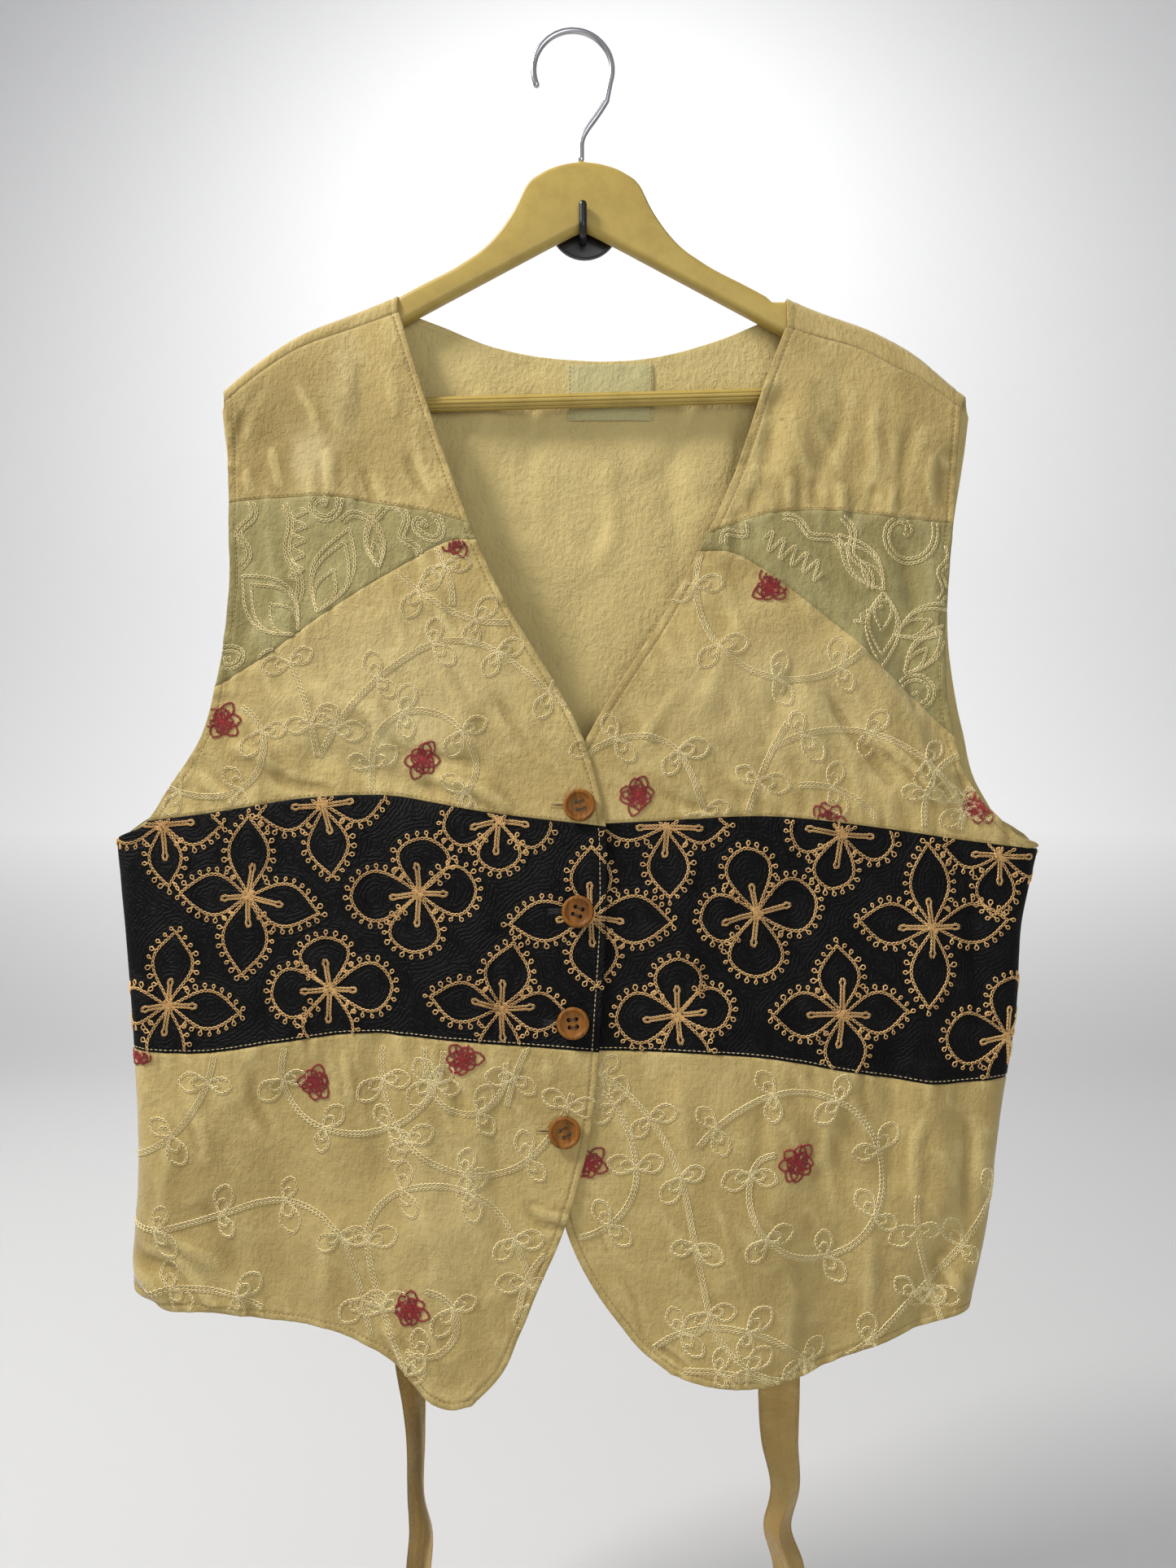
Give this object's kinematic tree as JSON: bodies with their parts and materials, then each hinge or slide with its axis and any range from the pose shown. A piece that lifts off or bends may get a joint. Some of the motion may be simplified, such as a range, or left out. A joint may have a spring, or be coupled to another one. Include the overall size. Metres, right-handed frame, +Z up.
{
  "type": "embroidered waistcoat on a hanger and wall hook",
  "caption": "Tan sleeveless waistcoat with a black embroidered band, pieced fronts, buttons and back ties, hung on a flat hanger from a black wall hook.",
  "frame": {"origin": "middle of the wall plate's back face, where the wall holds the hook", "axes": "+Z up, the front of the waistcoat looks along -Y, the wall is the plane y = 0, +X is to the wearer's left"},
  "size_m": [0.5804, 0.0541, 1.0264],
  "materials": {
    "tan_cloth": "washed matt weave with chain-stitch vines",
    "sage_cloth": "washed matt weave with cream chain stitch",
    "black_cloth": "dense black stitching with tan outlined flowers",
    "label_cloth": "smooth woven tape",
    "tie_cloth": "crumpled matt weave",
    "button_wood": "satin varnish",
    "hanger_paint": "satin mustard",
    "hook_wire": "plated wire",
    "wall_hook_black": "satin black"
  },
  "bodies": {
    "root": {"right_yoke": "tan_cloth", "right_inset": "sage_cloth", "right_chest": "tan_cloth", "right_band": "black_cloth", "right_lower": "tan_cloth", "left_yoke": "tan_cloth", "left_inset": "sage_cloth", "left_chest": "tan_cloth", "left_band": "black_cloth", "left_lower": "tan_cloth", "back": "tan_cloth", "neck_label": "label_cloth", "tie_right": "tie_cloth", "tie_left": "tie_cloth", "button_1": "button_wood", "button_2": "button_wood", "button_3": "button_wood", "button_4": "button_wood", "hanger_body": "hanger_paint", "hanger_bar": "hanger_paint", "hanger_hook": "hook_wire", "wall_plate": "wall_hook_black", "wall_peg": "wall_hook_black"}
  },
  "joints": []
}
